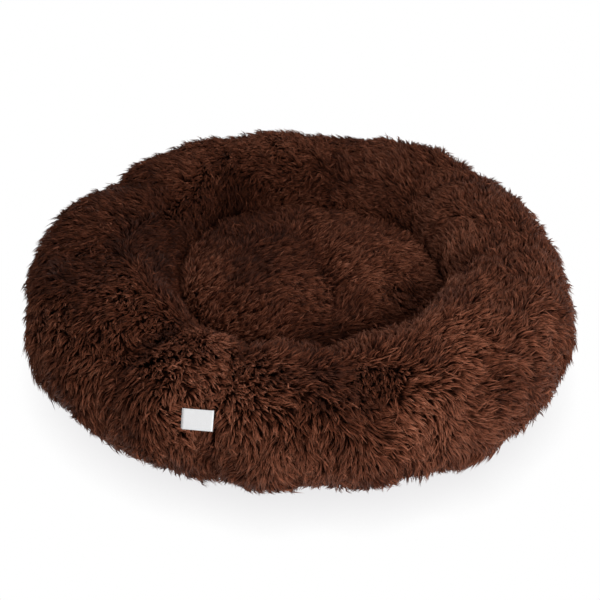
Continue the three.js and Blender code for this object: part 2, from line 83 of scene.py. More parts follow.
# The base: a flat ring on the floor and a middle held clear of it, with the zip along X
base_radius = ring_outer - 0.062
step_outer = opening + 0.022
step_inner = step_outer - 0.028
zip_end = step_inner - 0.014
grip_height = 0.0005
base_rise = 0.0063
base_cloth = 0.0008
window_half = 0.012
hem_width = 0.010
hem_low = 0.0058
hem_high = 0.0071
hem_seam = 0.0018
tack_length = 0.003
window_end = zip_end + tack_length
tack_half = 0.0138
tack_level = 0.0052
tack_thread = 0.00024
metal_bevel = 0.00018
thin_thread = 0.0002
tape_low = 0.0075
tape_high = 0.0081
tape_near = 0.0015
tape_far = 0.016
tape_tail = 0.012
coil_pitch = 0.002
coil_middle = 0.0012
coil_reach = 0.00145
coil_height = 0.00625
coil_rise = 0.0006
coil_wire = 0.00035
coil_seam = 0.0021
coil_seam_level = 0.00525
tape_seam = 0.0105
nose_spread = 0.0018
slider_rest = -zip_end + 0.0068

# Label: a folded satin tape whose ends are in the front seam
label_width = 0.038
label_height = 0.024
label_turn = 3.25
label_around = 38
label_lift = 0.0016
label_tape = 0.0004
label_fold = 0.0014
label_tilt = 8
label_covered = 0.003
label_sink = 0.0008
label_curl = 0.0009
label_stitch = 0.0022
label_seam = 0.0015

# Creases (share above 0) and swells (below 0) of the ring: degrees round the bed and half width,
# then degrees round the tube and spread, 0 outside, 90 crest and 180 inside
ring_forms = [
    (front_seam, 0.5, 6, 90, 150), (back_seam, 0.5, 6, 90, 150),
    (232, 0.95, 8, 115, 60), (146, 0.85, 7, 75, 60), (41, 0.7, 8, 130, 60),
    (354, 0.6, 8, 140, 55), (283, 0.8, 10, 70, 45), (120, 0.6, 14, 170, 50),
    (185, -0.75, 30, 175, 60), (308, -0.55, 18, 85, 60), (332, -0.35, 12, 55, 50),
    (97, -0.4, 9, 150, 45), (210, -0.35, 13, 80, 60), (20, -0.35, 13, 100, 60),
    (50, -0.8, 13, 60, 45), (136, -0.45, 6, 60, 45), (115, -0.45, 8, 60, 45),
    (167, -0.65, 10, 35, 45), (318, -1.0, 24, -15, 50), (210, -0.6, 17, -10, 50),
    (272, 0.6, 24, -50, 35),
]

# How the pile is combed: degrees round the bed and round the tube, then the heading, 0 outward
# over the crest and down the outside, 90 counter-clockwise along the ring
ring_combing = [
    (185, 35, 28), (205, 40, 30), (225, 50, 55), (190, 85, 15), (225, 95, 28),
    (250, 30, 10), (275, 35, -3), (255, 85, 70), (278, 90, 36), (265, 130, -155), (285, 120, -175),
    (300, 45, 80), (320, 55, 52), (335, 75, 92), (350, 70, 120), (345, 105, 112),
    (15, 75, 128), (30, 95, 75), (45, 130, 105), (15, 130, 102), (60, 90, 80), (10, 30, -30),
    (75, 70, 95), (92, 80, 118), (90, 130, 88), (108, 85, 102), (115, 150, 158), (130, 130, 95),
    (140, 80, 42), (155, 100, 5), (170, 70, 60), (175, 140, -155), (200, 140, -130), (40, 40, -10),
]

# How the pad's pile is combed: a place, and the heading in degrees from +X towards +Y
pad_combing = [
    (-0.13, 0.05, 48), (-0.12, -0.05, 8), (-0.06, 0.12, 115), (0.0, 0.05, 27),
    (0.07, 0.12, 30), (0.08, 0.02, 12), (0.14, 0.0, -45), (0.13, 0.08, 27),
    (0.05, -0.08, -12), (-0.02, -0.1, 20), (0.12, -0.08, -24), (-0.02, -0.02, -4),
]

# Painted light and shade on the pile, patches made lighter where light falls and darker where shade
# lies: degrees round the bed and round the tube, half widths, and shade
ring_painted_light = [
    (130, 165, 32, 50, -0.25), (180, 150, 30, 50, -0.25), (215, 150, 25, 50, -0.12),
    (178, 125, 32, 50, -0.2), (205, 68, 22, 24, -0.24), (232, 100, 2.2, 45, -0.4),
    (240, 120, 8, 18, 0.5), (255, 55, 7, 45, 0.36), (281, 76, 15, 24, -0.36),
    (302, 112, 12, 14, 0.3), (67, 140, 14, 25, -0.22), (115, 115, 16, 30, -0.14),
    (5, 150, 35, 50, 0.34), (265, 112, 45, 22, -0.08), (280, 5, 45, 35, 0.17),
    (150, 152, 14, 36, -0.16), (197, 140, 12, 24, -0.26), (270, 88, 7, 10, -0.24),
    (90, 95, 16, 45, 0.12), (0, 183, 45, 10, -0.5),
]

# The pile: strands stand in locks, and the locks of a tuft lean together
pile_length = 0.0180
pile_inset = 0.0078
backing_depth = 0.004
pad_backing_side = 0.008
lock_spacing = 0.00266
lock_width = 0.0012
locks_per_tuft = 4
strands_per_lock = 3
strand_radius = 0.00046
strand_flatness = 1.25
strand_widths = (0.9, 0.95)
strand_levels = (0.0, 0.55, 1.0)
strand_tip = 6
lowest_strand = 0.0004
corner_shade = 0.012

# Lean from the normal in degrees, and reach of a combing mark
ring_lean = 60
pad_lean = 58
comb_half = 20
comb_spread = 32
comb_outward = 0.12
pad_comb_half = 0.055
seam_parting = 0.4

# How uneven the pile is, from tuft to tuft, lock to lock and, for the shade, strand to strand
turn_spread = (0.26, 0.1)
lean_spread = (7, 4)
length_spread = (0.08, 0.05)
shade_spread = (0.1, 0.11, 0.15)
stray_share = 0.06
stray_turn = 0.9
top_share = 0.4
top_length = 1.18
under_length = 0.86
pull_to_tuft = (0.3, 0.14)
most_pull = 0.7


def srgb(red, green, blue):
    """A display colour from 0 to 255 as a linear one."""
    def linear(value):
        share = value / 255
        return share / 12.92 if share <= 0.04045 else ((share + 0.055) / 1.055) ** 2.4
    return (linear(red), linear(green), linear(blue), 1.0)


def bump(distance, half):
    return np.exp(-((distance / half) ** 2))


def smooth_step(share):
    share = np.clip(share, 0, 1)
    return share * share * (3 - 2 * share)


def turn_between(a, b):
    return (a - b + 180) % 360 - 180


def rounded(value, power):
    return np.sign(value) * np.abs(value) ** power


def unit(vectors):
    return vectors / np.maximum(np.linalg.norm(vectors, axis=-1, keepdims=True), 1e-9)


def steps(start, end, step):
    return np.linspace(start, end, max(2, int(round(abs(end - start) / step)) + 1))


def points_at(x, y, z):
    return np.stack(np.broadcast_arrays(x, y, z), -1)


class Waves:
    """A smooth random field: a sum of sine waves of about one length."""

    def __init__(self, length, seed, count=14):
        rng = np.random.default_rng(seed)
        direction = rng.normal(size=(count, 3))
        direction /= np.linalg.norm(direction, axis=1, keepdims=True)
        lengths = length * rng.uniform(0.7, 1.5, (count, 1))
        self.waves = direction * 2 * math.pi / lengths
        self.phase = rng.uniform(0, 2 * math.pi, count)
        self.size = math.sqrt(2 / count)

    def value(self, points):
        return np.sin(points @ self.waves.T + self.phase).sum(-1) * self.size


soft_lumps = Waves(0.11, 3)
cloth_waves = Waves(0.05, 31)


# The surfaces of the ring and the pad

def ring_dent(azimuth, around):
    total = 0
    for at, share, half, middle, spread in ring_forms:
        near = bump(turn_between(azimuth, at), half)
        total = total + crease_depth * share * near * bump(turn_between(around, middle), spread)
    return total


def inner_wall(azimuth):
    turn = np.radians(azimuth)
    shift = opening_shift[0] * np.cos(turn) + opening_shift[1] * np.sin(turn)
    return opening + shift - opening_oval * np.cos(2 * turn)


def upright(radius, turn, height):
    """Points from a distance and an angle round the middle of the bed, and a height."""
    return points_at(radius * np.cos(turn), radius * np.sin(turn), height)


def ring_surface(azimuth, around, inset, level=cover_level, lumps=ring_lumps):
    """Points of the tube; inset goes inwards from the middle of the pile."""
    azimuth, around = np.broadcast_arrays(azimuth, around)
    inner = inner_wall(azimuth)
    half_width = (ring_outer - inner) / 2 - inset
    middle = (ring_outer + inner) / 2
    half = ring_height / 2
    turn = np.radians(around)
    low_outside = (np.sin(turn) < 0) & (np.cos(turn) > 0)
    power = np.where(low_outside, tube_low_power, tube_power)
    out = rounded(np.cos(turn), power) * half_width
    rise = rounded(np.sin(turn), power)
    up = np.where(rise > 0, rise * (half - inset), rise * half * tube_bottom)
    bed_turn = np.radians(azimuth)
    plain = upright(middle + out, bed_turn, half + up)
    dent = (ring_dent(azimuth, around) + lumps * soft_lumps.value(plain)) / np.hypot(out, up)
    return upright(middle + out * (1 - dent), bed_turn, np.maximum(half + up * (1 - dent), level))


def pad_edge(azimuth):
    wall = ring_surface(azimuth, 180, 0, 0, 0)
    return np.hypot(wall[..., 0], wall[..., 1]) - pad_edge_gap


def fold_drop(x, y):
    along = np.subtract(fold_front, fold_back)
    from_back = np.stack([x - fold_back[0], y - fold_back[1]], -1)
    share = np.clip((from_back @ along) / (along @ along), 0, 1)
    off = np.linalg.norm(from_back - share[..., None] * along, axis=-1)
    return fold_depth * bump(off, fold_half_width)


def pad_surface(azimuth, share, side, top):
    """Points of the pad's upper half: share is 0 at the middle and 1 at the side."""
    azimuth, share = np.broadcast_arrays(azimuth, share)
    radius = (pad_edge(azimuth) - side) * share
    turn = np.radians(azimuth)
    x, y = radius * np.cos(turn), radius * np.sin(turn)
    lift = (1 - np.clip(share, 0, 1) ** (2 / pad_power)) ** (pad_power / 2)
    crown = pad_crown - top - pad_seam - fold_drop(x, y)
    height = pad_seam + crown * lift
    height = height + pad_lumps * soft_lumps.value(points_at(x, y, height)) * lift
    return points_at(x, y, height)


def pad_under(azimuth, share, side, floor, seam):
    """Points of the pad's lower half, round at the side and flat in the middle."""
    azimuth, share = np.broadcast_arrays(azimuth, share)
    radius = (pad_edge(azimuth) - side) * share
    height = floor + (seam - floor) * np.clip((share - 0.8) / 0.2, 0, 1) ** 2
    return upright(radius, np.radians(azimuth), height)


# Meshes from arrays

def add_object(name, data):
    data.name = name
    made = bpy.data.objects.new(name, data)
    scene.collection.objects.link(made)
    return made


def add_piece(name, mesh, look, body="cover", replaces=None):
    piece = add_object(name, mesh)
    mesh.materials.append(look)
    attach(piece, body)
    if replaces:
        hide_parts(replaces)
    return piece


def taken_from(work, mesh, smooth=True):
    """A mesh with what was worked on in a bmesh."""
    work.to_mesh(mesh)
    work.free()
    mesh.polygons.foreach_set("use_smooth", [smooth] * len(mesh.polygons))
    mesh.update()
    return mesh


def mesh_from(points, faces, smooth=True):
    mesh = bpy.data.meshes.new("mesh")
    mesh.from_pydata(points.reshape(-1, 3).tolist(), [], faces)
    work = bmesh.new()
    work.from_mesh(mesh)
    bmesh.ops.recalc_face_normals(work, faces=work.faces)
    return taken_from(work, mesh, smooth)


def loft(outlines, wraps=False):
    """A closed body from closed outlines; an open run gets a cap of quads at each end."""
    rows, count = outlines.shape[:2]
    faces = []
    for i in range(rows if wraps else rows - 1):
        here, there = i * count, ((i + 1) % rows) * count
        for j in range(count):
            k = (j + 1) % count
            faces.append((here + j, there + j, there + k, here + k))
    if not wraps:
        for start in (0, (rows - 1) * count):
            for j in range(count // 2 - 1):
                last = start + count - 1 - j
                faces.append((start + j, start + j + 1, last - 1, last))
    return mesh_from(outlines, faces)


def slab(x, y, low, high):
    """A closed sheet over a grid of places, between two heights."""
    return loft(np.concatenate([points_at(x, y, low), points_at(x, y, high)[:, ::-1]], 1))


def tube(path, radius, sides, reference):
    """A closed round tube along a path that never runs along the reference direction."""
    ahead = unit(np.gradient(path, axis=0))
    side = unit(np.cross(ahead, reference))
    up = np.cross(side, ahead)
    turn = (np.arange(sides) * 2 * math.pi / sides)[:, None]
    outlines = path[:, None] + radius * (side[:, None] * np.cos(turn) + up[:, None] * np.sin(turn))
    return loft(outlines)


def repeated_mesh(points, faces):
    """One mesh of many like bodies: points is (bodies, corners, 3), faces are those of one body."""
    bodies, count = points.shape[:2]
    sizes = np.array([len(face) for face in faces])
    corners = np.concatenate([np.array(face) for face in faces])
    mesh = bpy.data.meshes.new("mesh")
    mesh.vertices.add(bodies * count)
    mesh.vertices.foreach_set("co", points.astype(np.float32).ravel())
    loops = (np.arange(bodies)[:, None] * count + corners[None, :]).astype(np.int32)
    mesh.loops.add(loops.size)
    mesh.loops.foreach_set("vertex_index", loops.ravel())
    totals = np.tile(sizes, bodies)
    mesh.polygons.add(len(totals))
    mesh.polygons.foreach_set("loop_start", (np.cumsum(totals) - totals).astype(np.int32))
    mesh.polygons.foreach_set("use_smooth", np.ones(len(totals), bool))
    mesh.update(calc_edges=True)
    return mesh, corners


def ring_faces(rings, sides):
    """Faces of a body of rings of points with a flat cap at each end."""
    faces = [tuple(range(sides))[::-1], tuple(range((rings - 1) * sides, rings * sides))]
    for ring in range(rings - 1):
        low, high = ring * sides, (ring + 1) * sides
        for j in range(sides):
            k = (j + 1) % sides
            faces.append((low + j, low + k, high + k, high + j))
    return faces


# Materials

def put(node, **values):
    """Sets inputs of a node by name, with _ for a space, to a value or another node's output."""
    for name, value in values.items():
        socket = node.inputs[name.replace("_", " ")]
        if isinstance(value, bpy.types.NodeSocket):
            node.id_data.links.new(value, socket)
        else:
            socket.default_value = value


def add_node(tree, kind, **values):
    made = tree.nodes.new(kind)
    put(made, **values)
    return made


def material(name, roughness, specular):
    made = bpy.data.materials.new(name)
    made.use_nodes = True
    shader = made.node_tree.nodes["Principled BSDF"]
    put(shader, Roughness=roughness, Specular_IOR_Level=specular)
    return made, made.node_tree, shader


def ramp(tree, factor, stops):
    """The colour that a factor has on a ramp between stops."""
    node = add_node(tree, "ShaderNodeValToRGB", Fac=factor)
    elements = node.color_ramp.elements
    while len(elements) < len(stops):
        elements.new(0.5)
    for element, (place, colour) in zip(elements, stops):
        element.position = place
        element.color = colour
    return node.outputs["Color"]


def multiply(tree, first, second):
    both = add_node(tree, "ShaderNodeMix")
    both.data_type = "RGBA"
    both.blend_type = "MULTIPLY"
    put(both, Factor=1, A=first, B=second)
    return both.outputs["Result"]


def larger_of(tree, first, second):
    larger = add_node(tree, "ShaderNodeMath")
    larger.operation = "MAXIMUM"
    tree.links.new(first, larger.inputs[0])
    tree.links.new(second, larger.inputs[1])
    return larger.outputs["Value"]


def add_bump(tree, shader, height, strength, distance):
    rough = add_node(
        tree, "ShaderNodeBump", Strength=strength, Distance=distance, Height=height)
    put(shader, Normal=rough.outputs["Normal"])


def noise(tree, scale, detail, stretch=(1, 1, 1)):
    place = add_node(tree, "ShaderNodeTexCoord").outputs["Object"]
    place = add_node(tree, "ShaderNodeMapping", Scale=stretch, Vector=place).outputs["Vector"]
    texture = add_node(tree, "ShaderNodeTexNoise", Scale=scale, Detail=detail, Vector=place)
    return texture.outputs["Fac"]


def cloth_material(name, dark, light, grain, roughness=0.85, specular=0.2, stretch=(1, 1, 1)):
    """Cloth: a fine grain in colour and bump, with slow patches over it."""
    made, tree, shader = material(name, roughness, specular)
    fine = noise(tree, grain, 5, stretch)
    slow = noise(tree, 14, 2)
    colour = ramp(tree, fine, [(0.3, srgb(*dark)), (0.7, srgb(*light))])
    patches = ramp(tree, slow, [(0.3, (0.85, 0.85, 0.85, 1)), (0.7, (1, 1, 1, 1))])
    put(shader, Base_Color=multiply(tree, colour, patches))
    add_bump(tree, shader, fine, 0.5, 0.0004)
    return made


# Bands of a wave texture in one unit at a scale of 1
wave_bands = 3.2


def woven_material(name, dark, light, pitch, roughness, specular, sheen=0):
    """Cloth with warp and weft that cross at right angles."""
    made, tree, shader = material(name, roughness, specular)
    place = add_node(tree, "ShaderNodeTexCoord").outputs["Object"]
    waves = []
    for direction in ("X", "Y"):
        wave = add_node(tree, "ShaderNodeTexWave", Scale=1 / pitch / wave_bands,
                        Distortion=0.4, Vector=place)
        wave.bands_direction = direction
        waves.append(wave.outputs["Fac"])
    cross = larger_of(tree, *waves)
    colour = ramp(tree, cross, [(0.2, srgb(*dark)), (0.9, srgb(*light))])
    put(shader, Base_Color=colour, Sheen_Weight=sheen)
    add_bump(tree, shader, cross, 0.4, 0.0002)
    return made


def pile_material():
    """Plush pile: dark at the root, partly painted shade among the strands, and lighter to the tip,
    each strand its own shade, which carries painted light and shade; the greyer tips and lightest
    strands are partly a painted sheen.
    """
    made, tree, shader = material("plush_pile", 0.55, 0.09)
    uv = add_node(tree, "ShaderNodeUVMap")
    uv.uv_map = "OFBake"
    parts = add_node(tree, "ShaderNodeSeparateXYZ", Vector=uv.outputs["UV"])
    # Along the strand: the dark root is partly painted shade among the strands, the greyer tip
    # partly painted sheen
    along = ramp(tree, parts.outputs["Y"], [
        (0.0, srgb(46, 23, 14)), (0.4, srgb(70, 34, 20)),
        (0.75, srgb(102, 54, 35)), (1.0, srgb(142, 88, 64))])
    # Across: the strand's shade, painted light and shade included; the lightest end turns grey as a
    # painted sheen
    shade = ramp(tree, parts.outputs["X"], [
        (0.0, (0.24, 0.22, 0.21, 1)), (0.5, (0.88, 0.84, 0.82, 1)), (1.0, (2.2, 2.75, 3.3, 1))])
    put(shader, Base_Color=multiply(tree, along, shade))
    return made


def enamel_material():
    """Black enamel over metal, rubbed brighter on its edges."""
    made, tree, shader = material("zip_enamel", 0.34, 0.6)
    geometry = add_node(tree, "ShaderNodeNewGeometry")
    edges = ramp(tree, geometry.outputs["Pointiness"],
                 [(0.5, srgb(30, 30, 32)), (0.62, srgb(92, 90, 88))])
    put(shader, Base_Color=edges, Metallic=0.6, Coat_Weight=0.3)
    add_bump(tree, shader, noise(tree, 900, 3), 0.12, 0.0001)
    return made


def gloss_material(name, dark, light, roughness):
    """Smooth plastic with a faint unevenness."""
    made, tree, shader = material(name, roughness, 0.5)
    grain = noise(tree, 700, 2)
    put(shader, Base_Color=ramp(tree, grain, [(0.3, srgb(*dark)), (0.7, srgb(*light))]))
    add_bump(tree, shader, grain, 0.1, 0.0001)
    return made


# The pile: locks of tapered strands that grow from the backing

# The places of locks, with the surface's normal, the combing, the lean from the normal, the length,
# and a shade that carries painted light and shade besides random tone
Locks = namedtuple("Locks", "root normal comb lean length shade")


def tangents(surface, first, second, steps_of):
    """The two tangents of a surface at its parameters."""
    ahead = unit(surface(first + steps_of[0], second) - surface(first - steps_of[0], second))
    along = unit(surface(first, second + steps_of[1]) - surface(first, second - steps_of[1]))
    return ahead, along


def scattered(section, start, end, rng):
    """Places one lock apart over a surface: degrees round the bed, and places along its section."""
    fine = np.linspace(start, end, 800)
    points = section(fine)
    length = np.concatenate([[0], np.cumsum(np.linalg.norm(np.diff(points, axis=0), axis=1))])
    rows = max(2, int(length[-1] / lock_spacing))
    azimuths, alongs = [], []
    for at in (np.arange(rows) + 0.5) / rows * length[-1]:
        spot = section(np.array([np.interp(at, length, fine)]))[0]
        count = max(3, int(2 * math.pi * math.hypot(spot[0], spot[1]) / lock_spacing))
        base = (np.arange(count) + rng.uniform(0, 1)) / count * 360
        azimuths.append(base + rng.uniform(-0.5, 0.5, count) * 360 / count)
        alongs.append(np.interp(at + rng.uniform(-0.5, 0.5, count) * lock_spacing, length, fine))
    return np.concatenate(azimuths) % 360, np.concatenate(alongs)


def ring_heading(azimuth, around):
    """The combing's parts outward and along the ring, and the share by which the marks agree."""
    outward, along = np.full(len(azimuth), comb_outward), np.zeros(len(azimuth))
    total = np.full(len(azimuth), comb_outward)
    for at, middle, heading in ring_combing:
        near = bump(turn_between(azimuth, at), comb_half)
        near = near * bump(turn_between(around, middle), comb_spread)
        outward += near * math.cos(math.radians(heading))
        along += near * math.sin(math.radians(heading))
        total += near
    for seam in (front_seam, back_seam):
        off = turn_between(azimuth, seam)
        along += np.sign(off) * bump(off, 1.2) * seam_parting * total
    return outward, along, np.clip(np.hypot(outward, along) / total, 0, 1)


def ring_painted_shading(azimuth, around):
    """Painted shade in the creases and painted light on the swells, with the patches of painted
    light and shade.
    """
    dent = ring_dent(azimuth, around) / crease_depth
    # Painted shade where the ring is dented, painted light where it swells
    shade = 0.5 - 0.28 * np.clip(dent, 0, 1) + 0.08 * np.clip(-dent, 0, 1)
    # Patches of painted light and shade from the table
    for at, middle, half, spread, change in ring_painted_light:
        near = bump(turn_between(azimuth, at), half) * bump(turn_between(around, middle), spread)
        shade = shade + change * near
    return shade


def ring_backing(azimuth, around):
    return ring_surface(azimuth, around, pile_inset)


def pad_backing(azimuth, share):
    return pad_surface(azimuth, share, pad_backing_side, pile_inset)


def ring_locks(rng):
    azimuth, around = scattered(
        lambda along: ring_backing(90.0, along), tube_start + 3, tube_end, rng)
    ahead, up = tangents(ring_backing, azimuth, around, (0.4, 0.4))
    root = ring_backing(azimuth, around)
    normal = unit(np.cross(ahead, up))
    outward, along, agreed = ring_heading(azimuth, around)
    comb = unit(outward[:, None] * -up + along[:, None] * ahead)
    low = np.clip((60 - around) / 60, 0, 1)
    inside = np.clip((around - 145) / 40, 0, 1)
    seams = sum(bump(turn_between(azimuth, seam), 0.7) for seam in (front_seam, back_seam))
    lean = (ring_lean + 8 * low - 12 * inside) * (0.86 + 0.14 * agreed)
    length = pile_length * (1 + 0.08 * low - 0.1 * inside) * (1 - 0.15 * seams)
    return azimuth, Locks(root, normal, comb, lean, length, ring_painted_shading(azimuth, around))


def pad_painted_shading(azimuth, share, x):
    """Painted light to the right and at the rim, with a painted shadow in the crease along the
    right side.
    """
    shade = 0.24 + 0.22 * smooth_step((x - 0.01) / 0.1) + 0.2 * bump(share - 1, 0.12)
    # Painted shadow along the right side, where the pad's rim meets the ring
    return shade - 0.6 * bump(share - 1, 0.035) * bump(turn_between(azimuth, 0), 45)


def pad_locks(rng):
    azimuth, share = scattered(lambda along: pad_backing(0.0, along), 0, 1, rng)
    ahead, out = tangents(pad_backing, azimuth, np.clip(share, 0.02, 0.996), (0.8, 0.003))
    root = pad_backing(azimuth, share)
    normal = unit(np.cross(out, ahead))
    way = np.zeros((len(azimuth), 3))
    for x, y, heading in pad_combing:
        near = bump(np.hypot(root[:, 0] - x, root[:, 1] - y), pad_comb_half) + 1e-4
        way[:, 0] += near * math.cos(math.radians(heading))
        way[:, 1] += near * math.sin(math.radians(heading))
    rim = bump(share - 1, 0.09)
    way = unit(way) + 1.2 * rim[:, None] * unit(root * np.array([1, 1, 0]))
    comb = unit(way - (way * normal).sum(-1, keepdims=True) * normal)
    lean = pad_lean - 24 * bump(share - 0.96, 0.07)
    length = np.full(len(root), pile_length)
    return azimuth, Locks(root, normal, comb, lean, length, pad_painted_shading(azimuth, share, root[:, 0]))


def turned(vectors, axes, angle):
    """Vectors turned about axes at right angles to them."""
    return vectors * np.cos(angle)[:, None] + np.cross(axes, vectors) * np.sin(angle)[:, None]


wide_swirl = Waves(0.085, 11)
fine_swirl = Waves(0.030, 12)
length_patches = Waves(0.045, 14)
shade_patches = Waves(0.10, 15)


def tuft_of(root, rng):
    """For each lock, the lock in the middle of its tuft."""
    middles = np.flatnonzero(rng.random(len(root)) * locks_per_tuft < 1)
    tree = KDTree(len(middles))
    for middle in middles:
        tree.insert(root[middle], int(middle))
    tree.balance()
    return np.array([tree.find(spot)[1] for spot in root])


def uneven(spread, tuft, rng):
    """A random amount for each lock: a part that its tuft shares and a part of its own."""
    count = len(tuft)
    return rng.normal(0, spread[0], count)[tuft] + rng.normal(0, spread[1], count)


def lock_bends(locks, rng):
    """Each lock's heading, tip, reach, rise, pull towards its tuft's tip, and shade."""
    count = len(locks.root)
    root, normal = locks.root, locks.normal
    tuft = tuft_of(root, rng)
    swirl = 0.4 * wide_swirl.value(root) + 0.26 * fine_swirl.value(root)
    stray = rng.random(count) < stray_share
    turn = swirl + uneven(turn_spread, tuft, rng)
    turn = np.where(stray, swirl + rng.normal(0, stray_turn, count), turn)
    comb = turned(locks.comb, normal, turn)
    lean = locks.lean + 5 * fine_swirl.value(root + 0.3) + uneven(lean_spread, tuft, rng)
    on_top = rng.random(count) < top_share
    length = 1 + 0.08 * length_patches.value(root) + uneven(length_spread, tuft, rng)
    length = locks.length * length * np.where(on_top, top_length, under_length)
    reach = (length * np.sin(np.radians(lean)))[:, None]
    rise = (length * np.cos(np.radians(lean)))[:, None]
    tip = root + comb * reach + normal * rise
    tuft_tip = tip[tuft] + (root - root[tuft]) * 0.4
    pull = np.clip(rng.normal(*pull_to_tuft, count), 0, most_pull)
    gather = (tuft_tip - tip) * np.where(stray, 0, pull)[:, None]
    tip = tip + gather
    # The lock's shade keeps the painted light and shade of its place, with random patches and light
    # strays on top
    shade = locks.shade + 0.07 * shade_patches.value(root) + 0.22 * stray
    shade = shade + np.where(on_top, 0.08, -0.06) + uneven(shade_spread, tuft, rng)
    fall = np.maximum(root[:, 2] - tip[:, 2], 1e-6)
    off_floor = np.clip((root[:, 2] - 0.001) / fall, 0.55, 1)[:, None]
    tip = root + (tip - root) * off_floor
    return comb, tip, reach * off_floor, rise * off_floor, gather * off_floor, shade


def curve_point(foot, first, second, end, t):
    """The point at t, from 0 to 1, of the smooth curve with these four control points."""
    s = 1 - t
    return s ** 3 * foot + 3 * s * s * t * first + 3 * s * t * t * second + t ** 3 * end


def strand_lines(locks, rng):
    """Centre lines of the strands of each lock as 3 points, with a shade for each strand."""
    *bends, shade = lock_bends(locks, rng)
    root, normal, comb, tip, reach, rise, gather = (
        np.repeat(part, strands_per_lock, 0) for part in (locks.root, locks.normal, *bends))
    strands = len(root)
    # The strands of a lock start apart, rise, bend over to the comb and close up towards the tip
    side = np.cross(normal, comb)
    fan = rng.uniform(-1, 1, (strands, 1)) * lock_width
    deep = rng.uniform(-1, 1, (strands, 1)) * lock_width
    foot = root + side * fan + comb * deep - normal * 0.0008
    end = tip + side * fan * 0.2 + comb * deep * 0.9 + rng.normal(0, 0.0005, (strands, 3))
    end = foot + (end - foot) * rng.uniform(0.82, 1.06, (strands, 1))
    first = foot + normal * rise * 0.62 + comb * reach * 0.08
    second = foot + normal * rise * 1.08 + comb * reach * 0.52 + side * fan * 0.35 + gather * 0.5
    line = np.stack([curve_point(foot, first, second, end, t) for t in strand_levels], 1)
    shade = np.repeat(shade, strands_per_lock) + rng.normal(0, shade_spread[2], strands)
    return line, normal, np.clip(shade, 0.03, 0.97)


def strand_faces():
    """Faces of a strand of two rings of three points and a tip, and the level of each corner."""
    faces, levels = [(2, 1, 0)], [0, 0, 0]
    for corner in range(3):
        after = (corner + 1) % 3
        faces.append((corner, after, 3 + after, 3 + corner))
        levels += [0, 0, 1, 1]
        faces.append((3 + corner, 3 + after, strand_tip))
        levels += [1, 1, 2]
    return faces, levels


def strand_mesh(line, normal, shade):
    """Closed three-sided strands, with a map of shade across and place along the strand."""
    ring_points = []
    for level, width in enumerate(strand_widths):
        ahead = line[:, level + 1] - line[:, max(level - 1, 0)]
        side = unit(np.cross(ahead, normal))
        up = unit(np.cross(side, ahead))
        for corner in range(3):
            turn = math.radians(90 + 120 * corner)
            reach = strand_radius * width
            wide = side * math.cos(turn) * reach * strand_flatness
            ring_points.append(line[:, level] + wide + up * math.sin(turn) * reach)
    points = np.stack(ring_points + [line[:, -1]], 1)
    points[..., 2] = np.maximum(points[..., 2], lowest_strand)
    faces, levels = strand_faces()
    mesh, corners = repeated_mesh(points, faces)
    height = np.array(strand_levels)[levels]
    offset = np.where(corners == strand_tip, 0, corners % 3 - 1) * corner_shade
    uv = mesh.uv_layers.new(name="OFBake")
    across = np.clip(shade[:, None] + offset[None, :], 0.001, 0.999)
    pair = np.stack([across, np.broadcast_to(0.02 + 0.96 * height, across.shape)], -1)
    uv.data.foreach_set("uv", pair.astype(np.float32).ravel())
    return mesh


def label_place():
    """The label's middle, the direction along the ring, up the tube and out of it."""
    azimuth = front_seam - label_turn
    below, middle, above = ring_surface(azimuth, label_around + np.array([-1, 0, 1]), 0, lumps=0)
    turn = math.radians(azimuth)
    level = np.array([-math.sin(turn), math.cos(turn), 0])
    rise = unit(above - below)
    out = np.cross(level, rise)
    tilt = math.radians(label_tilt)
    along = level * math.cos(tilt) + rise * math.sin(tilt)
    return middle + out * label_lift, along, np.cross(out, along), out


def pressed_by_label(line):
    """Presses the strands down where the label lies on them."""
    middle, along, up, out = label_place()
    away = line - middle
    free = label_width - label_covered
    across = np.abs(away @ along + label_covered / 2) - free / 2
    beside = np.maximum(across, np.abs(away @ up) - label_height / 2)
    limit = np.maximum(beside, 0) * 1.5 - label_sink
    above = np.maximum(away @ out - limit, 0)
    near = np.linalg.norm(away, axis=-1) < label_width
    return line - (above * near)[..., None] * out


def add_pile(names, start, azimuth, locks, rng, pile):
    """The strands of all locks, in pieces of equal angle round the bed from a start on."""
    line, normal, shade = strand_lines(locks, rng)
    line = pressed_by_label(line)
    part = (np.repeat(azimuth, strands_per_lock) - start) % 360 // (360 / len(names))
    for number, name in enumerate(names):
        chosen = part == number
        add_piece(name, strand_mesh(line[chosen], normal[chosen], shade[chosen]), pile)


def down_to_the_base(azimuth, around):
    """Degrees round the tube, drawn down near the lower edge to where the plush meets the base."""
    reach = 18
    below = np.arange(tube_start, tube_start - reach, -1.0)
    height = ring_backing(azimuth, below[None, :])[..., 2]
    edge = below[np.argmax(height < cover_level + 0.0003, axis=1)][:, None]
    near_edge = np.clip((tube_start + reach - around) / reach, 0, 1)
    return around + (edge - tube_start) * near_edge


def add_ring_cover(cloth, pile):
    sides = (("left", back_seam, front_seam), ("right", front_seam, back_seam + 360))
    for side, start, end in sides:
        turns = steps(start, end, 2.0)[:, None]
        arounds = np.concatenate([steps(tube_start, 100, 6), steps(106, tube_end, 6)])
        arounds = down_to_the_base(turns, arounds[None, :])
        outer = ring_backing(turns, arounds)
        inner = ring_surface(
            turns, arounds[:, ::-1], pile_inset + backing_depth, cover_level + 0.001)
        cover = add_piece(f"ring_cover_{side}", loft(np.concatenate([outer, inner], 1)),
                          cloth, replaces=f"ring_panel_{side}")
    rng = np.random.default_rng(21)
    names = [f"ring_pile_{side}_{n + 1}" for side in ("left", "right") for n in range(10)]
    add_pile(names, back_seam, *ring_locks(rng), rng, pile)


